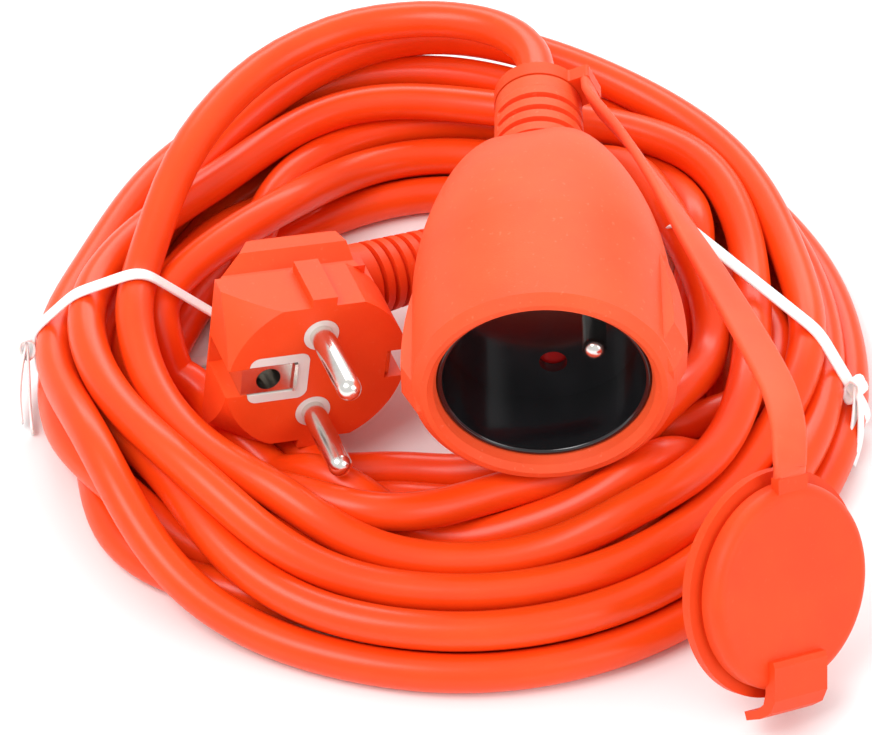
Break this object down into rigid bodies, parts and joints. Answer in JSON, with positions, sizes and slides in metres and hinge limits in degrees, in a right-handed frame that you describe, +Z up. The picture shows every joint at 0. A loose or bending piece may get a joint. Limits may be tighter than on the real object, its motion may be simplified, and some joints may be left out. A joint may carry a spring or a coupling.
{
  "type": "extension cord",
  "caption": "Coiled three-core extension cord with a moulded socket, a tethered protective cap on a strap, an angled earthed plug and tape ties.",
  "frame": {"origin": "middle of the coil, on the surface it lies on", "axes": "+Z up, the socket's mouth and the plug's pins face -Y, +X towards the loose cap"},
  "size_m": [0.1784, 0.1789, 0.0663],
  "materials": {
    "orange_body": "fine matte texture",
    "orange_cap": "soft, slightly brighter than the body",
    "orange_cable": "smooth flexible sheath",
    "black_insert": "semi-gloss",
    "black_carrier": "matte",
    "red_shutter": "gloss",
    "white_bridge": "satin",
    "nickel": "bright nickel plate",
    "spring_steel": "bright wire",
    "contact_brass": "bright",
    "core_brown": "smooth",
    "core_blue": "smooth",
    "core_green": "green with a yellow stripe",
    "white_tie": "flat white tape"
  },
  "bodies": {
    "base": {"socket_housing": "orange_body", "socket_insert": "black_insert", "contact_carrier": "black_carrier", "earth_pin": "nickel", "line_contact": "contact_brass", "neutral_contact": "contact_brass", "shutter_spring": "spring_steel", "socket_core_line": "core_brown", "socket_core_neutral": "core_blue", "socket_core_earth": "core_green", "plug_housing": "orange_body", "plug_bridge": "white_bridge", "plug_pin_line": "nickel", "plug_pin_neutral": "nickel", "plug_earth_contact": "nickel", "plug_core_line": "core_brown", "plug_core_neutral": "core_blue", "plug_core_earth": "core_green", "cord_coil": "orange_cable", "socket_lead": "orange_cable", "plug_lead": "orange_cable", "tie_left": "white_tie", "tie_right": "white_tie"},
    "ring": {"cap_ring": "orange_cap"},
    "strap": {"cap_strap": "orange_cap"},
    "lid": {"cap_lid": "orange_cap"},
    "shutter": {"shutter": "red_shutter"}
  },
  "joints": [
    {"name": "ring_turn", "type": "hinge", "parent": "base", "child": "ring", "pos_m": [0.0168, 0.0417, 0.041], "axis": [0, -1, 0], "range_deg": [0, 90]},
    {"name": "strap_bend", "type": "hinge", "parent": "ring", "child": "strap", "pos_m": [0.02731, 0.03875, 0.04568], "axis": [-0.4067, 0, 0.9135], "range_deg": [0, 25]},
    {"name": "lid_bend", "type": "hinge", "parent": "strap", "child": "lid", "pos_m": [0.06186, -0.06468, 0.04516], "axis": [-0.7751, -0.5316, 0.3415], "range_deg": [0, 80]},
    {"name": "shutter_turn", "type": "hinge", "parent": "base", "child": "shutter", "pos_m": [0.0168, -0.0204, 0.041], "axis": [0, -1, 0], "range_deg": [0, 40], "stiffness_Nm_per_rad": 0.02, "springref_deg": -28.65}
  ]
}
